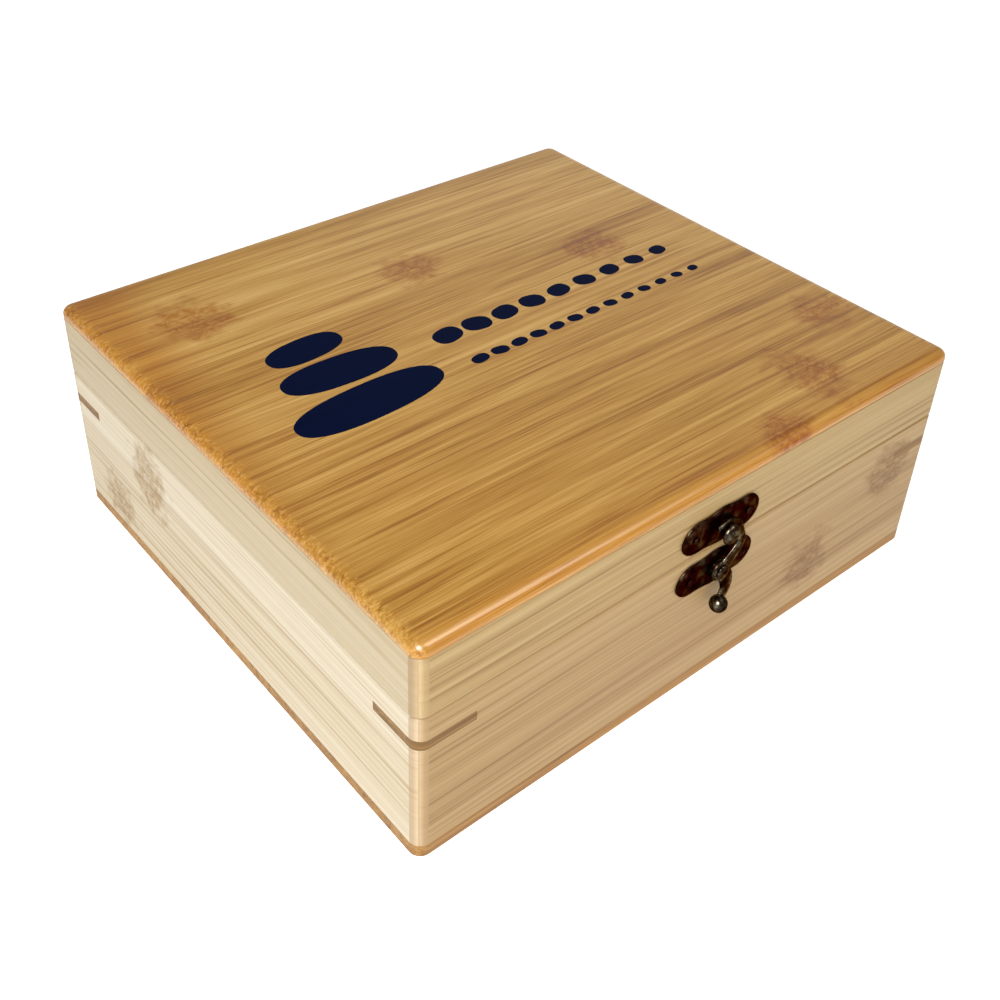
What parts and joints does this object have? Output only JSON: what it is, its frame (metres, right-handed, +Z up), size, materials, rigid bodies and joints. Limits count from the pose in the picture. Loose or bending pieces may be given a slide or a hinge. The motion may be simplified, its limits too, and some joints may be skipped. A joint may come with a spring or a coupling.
{
  "type": "hot stone massage set in a hinged case",
  "caption": "Hinged bamboo case with a swing-hook latch, holding graded basalt massage stones in a pocketed foam liner.",
  "frame": {"origin": "centre of the case's underside, on the surface it stands on", "axes": "+Z up, front with the latch faces -Y, +X to the right seen from the front, hinges behind the back wall at +Y"},
  "size_m": [0.22, 0.2105, 0.0815],
  "materials": {
    "top_panel": "honey caramelised bamboo strips under clear gloss varnish",
    "wall_board": "pale natural bamboo under satin varnish",
    "corner_key": "dark carbonised bamboo, flush",
    "bottom_panel": "thin brown bamboo board, satin",
    "latch_bronze": "antique bronze plating, dark in the hollows, worn bright on edges",
    "hinge_bronze": "antique bronze plating",
    "liner_foam": "black closed-cell foam, matt",
    "basalt": "tumbled basalt, oiled satin"
  },
  "bodies": {
    "base": {"base_front_wall": "wall_board", "base_right_wall": "wall_board", "base_back_wall": "wall_board", "base_left_wall": "wall_board", "base_bottom_panel": "bottom_panel", "corner_key_front_left": "corner_key", "corner_key_front_right": "corner_key", "corner_key_back_right": "corner_key", "corner_key_back_left": "corner_key", "hinge_base_leaf_left": "hinge_bronze", "hinge_base_leaf_right": "hinge_bronze", "hinge_pin_left": "hinge_bronze", "hinge_pin_right": "hinge_bronze", "hinge_nail_base_left_1": "hinge_bronze", "hinge_nail_base_left_2": "hinge_bronze", "hinge_nail_base_right_1": "hinge_bronze", "hinge_nail_base_right_2": "hinge_bronze", "latch_base_plate": "latch_bronze", "latch_nail_base_left": "latch_bronze", "latch_nail_base_right": "latch_bronze", "latch_rivet": "latch_bronze", "foam_liner": "liner_foam"},
    "lid": {"lid_top_panel": "top_panel", "lid_front_wall": "wall_board", "lid_right_wall": "wall_board", "lid_back_wall": "wall_board", "lid_left_wall": "wall_board", "hinge_lid_leaf_left": "hinge_bronze", "hinge_lid_leaf_right": "hinge_bronze", "hinge_nail_lid_left_1": "hinge_bronze", "hinge_nail_lid_left_2": "hinge_bronze", "hinge_nail_lid_right_1": "hinge_bronze", "hinge_nail_lid_right_2": "hinge_bronze", "latch_lid_plate": "latch_bronze", "latch_nail_lid_left": "latch_bronze", "latch_nail_lid_right": "latch_bronze", "latch_knob": "latch_bronze"},
    "hook": {"latch_hook": "latch_bronze"},
    "loose_stone_01": {"stone_01": "basalt"},
    "loose_stone_02": {"stone_02": "basalt"},
    "loose_stone_03": {"stone_03": "basalt"},
    "loose_stone_04": {"stone_04": "basalt"},
    "loose_stone_05": {"stone_05": "basalt"},
    "loose_stone_06": {"stone_06": "basalt"},
    "loose_stone_07": {"stone_07": "basalt"},
    "loose_stone_08": {"stone_08": "basalt"},
    "loose_stone_09": {"stone_09": "basalt"},
    "loose_stone_10": {"stone_10": "basalt"},
    "loose_stone_11": {"stone_11": "basalt"},
    "loose_stone_12": {"stone_12": "basalt"},
    "loose_stone_13": {"stone_13": "basalt"},
    "loose_stone_14": {"stone_14": "basalt"},
    "loose_stone_15": {"stone_15": "basalt"},
    "loose_stone_16": {"stone_16": "basalt"},
    "loose_stone_17": {"stone_17": "basalt"},
    "loose_stone_18": {"stone_18": "basalt"}
  },
  "joints": [
    {"name": "lid_hinge", "type": "hinge", "parent": "base", "child": "lid", "pos_m": [0, 0.1018, 0.0557], "axis": [-1, 0, 0], "range_deg": [0, 105]},
    {"name": "latch_hook_pivot", "type": "hinge", "parent": "base", "child": "hook", "pos_m": [0, -0.0995, 0.0475], "axis": [0, 1, 0], "range_deg": [0, 75]},
    {"name": "stone_01_lift", "type": "slide", "parent": "base", "child": "loose_stone_01", "axis": [0, 0, 1], "range_m": [0, 0.025]},
    {"name": "stone_02_lift", "type": "slide", "parent": "base", "child": "loose_stone_02", "axis": [0, 0, 1], "range_m": [0, 0.025]},
    {"name": "stone_03_lift", "type": "slide", "parent": "base", "child": "loose_stone_03", "axis": [0, 0, 1], "range_m": [0, 0.025]},
    {"name": "stone_04_lift", "type": "slide", "parent": "base", "child": "loose_stone_04", "axis": [0, 0, 1], "range_m": [0, 0.025]},
    {"name": "stone_05_lift", "type": "slide", "parent": "base", "child": "loose_stone_05", "axis": [0, 0, 1], "range_m": [0, 0.025]},
    {"name": "stone_06_lift", "type": "slide", "parent": "base", "child": "loose_stone_06", "axis": [0, 0, 1], "range_m": [0, 0.025]},
    {"name": "stone_07_lift", "type": "slide", "parent": "base", "child": "loose_stone_07", "axis": [0, 0, 1], "range_m": [0, 0.025]},
    {"name": "stone_08_lift", "type": "slide", "parent": "base", "child": "loose_stone_08", "axis": [0, 0, 1], "range_m": [0, 0.025]},
    {"name": "stone_09_lift", "type": "slide", "parent": "base", "child": "loose_stone_09", "axis": [0, 0, 1], "range_m": [0, 0.025]},
    {"name": "stone_10_lift", "type": "slide", "parent": "base", "child": "loose_stone_10", "axis": [0, 0, 1], "range_m": [0, 0.025]},
    {"name": "stone_11_lift", "type": "slide", "parent": "base", "child": "loose_stone_11", "axis": [0, 0, 1], "range_m": [0, 0.025]},
    {"name": "stone_12_lift", "type": "slide", "parent": "base", "child": "loose_stone_12", "axis": [0, 0, 1], "range_m": [0, 0.025]},
    {"name": "stone_13_lift", "type": "slide", "parent": "base", "child": "loose_stone_13", "axis": [0, 0, 1], "range_m": [0, 0.025]},
    {"name": "stone_14_lift", "type": "slide", "parent": "base", "child": "loose_stone_14", "axis": [0, 0, 1], "range_m": [0, 0.025]},
    {"name": "stone_15_lift", "type": "slide", "parent": "base", "child": "loose_stone_15", "axis": [0, 0, 1], "range_m": [0, 0.025]},
    {"name": "stone_16_lift", "type": "slide", "parent": "base", "child": "loose_stone_16", "axis": [0, 0, 1], "range_m": [0, 0.025]},
    {"name": "stone_17_lift", "type": "slide", "parent": "base", "child": "loose_stone_17", "axis": [0, 0, 1], "range_m": [0, 0.025]},
    {"name": "stone_18_lift", "type": "slide", "parent": "base", "child": "loose_stone_18", "axis": [0, 0, 1], "range_m": [0, 0.025]}
  ]
}
